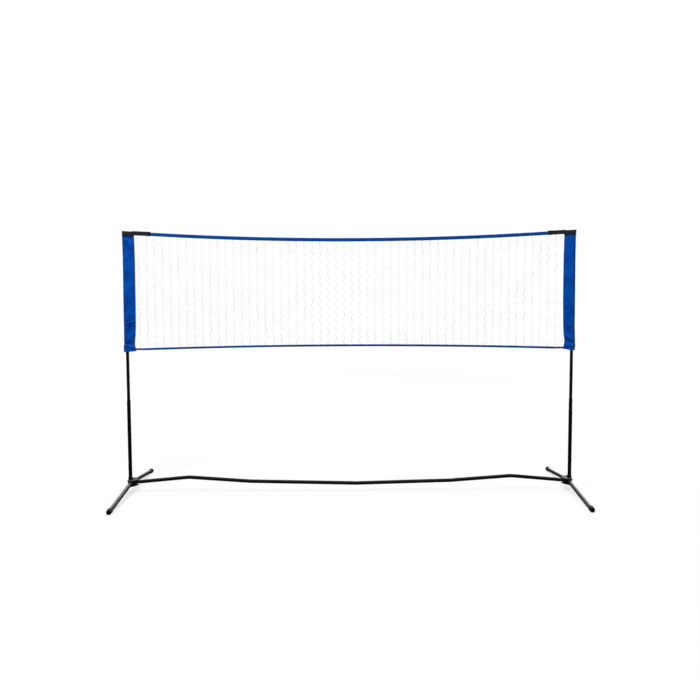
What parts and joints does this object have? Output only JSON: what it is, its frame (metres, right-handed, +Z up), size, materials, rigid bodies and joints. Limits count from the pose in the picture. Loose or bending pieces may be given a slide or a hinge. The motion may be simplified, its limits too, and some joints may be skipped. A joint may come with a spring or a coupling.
{
  "type": "volleyball net on poles",
  "caption": "Free-standing volleyball net with pole pockets on telescoping poles, hubs with swinging legs and a sectional base bar.",
  "frame": {"origin": "on the floor, midway between the poles", "axes": "+X along the net, +Y from front to rear, +Z up"},
  "size_m": [2.6634, 1.0412, 1.553],
  "materials": {
    "black_paint": "satin",
    "rivet_steel": "satin",
    "black_plastic": "matte",
    "pale_nylon": "matte",
    "black_rubber": "matte",
    "button_steel": "satin",
    "blue_cloth": "woven",
    "black_webbing": "woven",
    "white_twine": "twisted"
  },
  "bodies": {
    "frame": {"hub_lower_plate_left": "black_paint", "hub_upper_plate_left": "black_paint", "pole_socket_left": "black_paint", "bar_stub_left": "black_paint", "spacer_rivets_left": "rivet_steel", "pivot_rivets_left": "rivet_steel", "lower_pole_left": "black_paint", "lower_bush_left": "black_plastic", "bar_outer_left": "black_paint", "bar_inner_left": "black_paint", "hub_lower_plate_right": "black_paint", "hub_upper_plate_right": "black_paint", "pole_socket_right": "black_paint", "bar_stub_right": "black_paint", "spacer_rivets_right": "rivet_steel", "pivot_rivets_right": "rivet_steel", "lower_pole_right": "black_paint", "lower_bush_right": "black_plastic", "bar_outer_right": "black_paint", "bar_inner_right": "black_paint", "bar_spring_left": "button_steel", "bar_spring_centre": "button_steel", "bar_spring_right": "button_steel"},
    "front_leg_left": {"leg_front_left": "black_paint", "knuckle_front_left": "black_plastic", "leg_cap_front_left": "black_rubber"},
    "rear_leg_left": {"leg_rear_left": "black_paint", "knuckle_rear_left": "black_plastic", "leg_cap_rear_left": "black_rubber"},
    "middle_stage_left": {"middle_pole_left": "black_paint", "middle_plug_left": "pale_nylon", "middle_bush_left": "black_plastic"},
    "front_leg_right": {"leg_front_right": "black_paint", "knuckle_front_right": "black_plastic", "leg_cap_front_right": "black_rubber"},
    "rear_leg_right": {"leg_rear_right": "black_paint", "knuckle_rear_right": "black_plastic", "leg_cap_rear_right": "black_rubber"},
    "middle_stage_right": {"middle_pole_right": "black_paint", "middle_plug_right": "pale_nylon", "middle_bush_right": "black_plastic"},
    "net_and_left_pole": {"upper_pole_left": "black_paint", "upper_plug_left": "pale_nylon", "pole_cap_left": "black_plastic", "net_mesh": "white_twine", "top_band": "blue_cloth", "bottom_band": "blue_cloth", "net_pocket_left": "blue_cloth", "corner_sleeve_left": "black_webbing", "bottom_cord_left": "black_webbing", "net_pocket_right": "blue_cloth", "corner_sleeve_right": "black_webbing", "bottom_cord_right": "black_webbing"},
    "upper_stage_right": {"upper_pole_right": "black_paint", "upper_plug_right": "pale_nylon", "pole_cap_right": "black_plastic"},
    "button_left": {"bar_button_left": "button_steel"},
    "button_centre": {"bar_button_centre": "button_steel"},
    "button_right": {"bar_button_right": "button_steel"}
  },
  "joints": [
    {"name": "front_leg_left_swing", "type": "hinge", "parent": "frame", "child": "front_leg_left", "pos_m": [-1.308, -0.034, 0.0575], "axis": [0, 0, 1], "range_deg": [0, 90]},
    {"name": "rear_leg_left_swing", "type": "hinge", "parent": "frame", "child": "rear_leg_left", "pos_m": [-1.308, 0.034, 0.0575], "axis": [0, 0, -1], "range_deg": [0, 90]},
    {"name": "front_leg_right_swing", "type": "hinge", "parent": "frame", "child": "front_leg_right", "pos_m": [1.308, -0.034, 0.0575], "axis": [0, 0, -1], "range_deg": [0, 90]},
    {"name": "rear_leg_right_swing", "type": "hinge", "parent": "frame", "child": "rear_leg_right", "pos_m": [1.308, 0.034, 0.0575], "axis": [0, 0, 1], "range_deg": [0, 90]},
    {"name": "lower_slide_left", "type": "slide", "parent": "frame", "child": "middle_stage_left", "axis": [0, 0, 1], "range_m": [-0.345, 0]},
    {"name": "lower_slide_right", "type": "slide", "parent": "frame", "child": "middle_stage_right", "axis": [0, 0, 1], "range_m": [-0.345, 0]},
    {"name": "upper_slide_left", "type": "slide", "parent": "middle_stage_left", "child": "net_and_left_pole", "axis": [0, 0, 1], "range_m": [-0.345, 0]},
    {"name": "upper_slide_right", "type": "slide", "parent": "middle_stage_right", "child": "upper_stage_right", "axis": [0, 0, 1], "range_m": [-0.345, 0]},
    {"name": "button_left_press", "type": "slide", "parent": "frame", "child": "button_left", "axis": [-0.0724, 0, -0.9974], "range_m": [0, 0.0024], "stiffness_N_per_m": 800, "deforming": ["bar_spring_left"]},
    {"name": "button_centre_press", "type": "slide", "parent": "frame", "child": "button_centre", "axis": [-0.0227, 0, -0.9997], "range_m": [0, 0.0024], "stiffness_N_per_m": 800, "deforming": ["bar_spring_centre"]},
    {"name": "button_right_press", "type": "slide", "parent": "frame", "child": "button_right", "axis": [0.0724, 0, -0.9974], "range_m": [0, 0.0024], "stiffness_N_per_m": 800, "deforming": ["bar_spring_right"]}
  ],
  "couplings": [
    {"joint": "lower_slide_right", "follows": "lower_slide_left", "ratio": 1},
    {"joint": "upper_slide_right", "follows": "upper_slide_left", "ratio": 1}
  ]
}
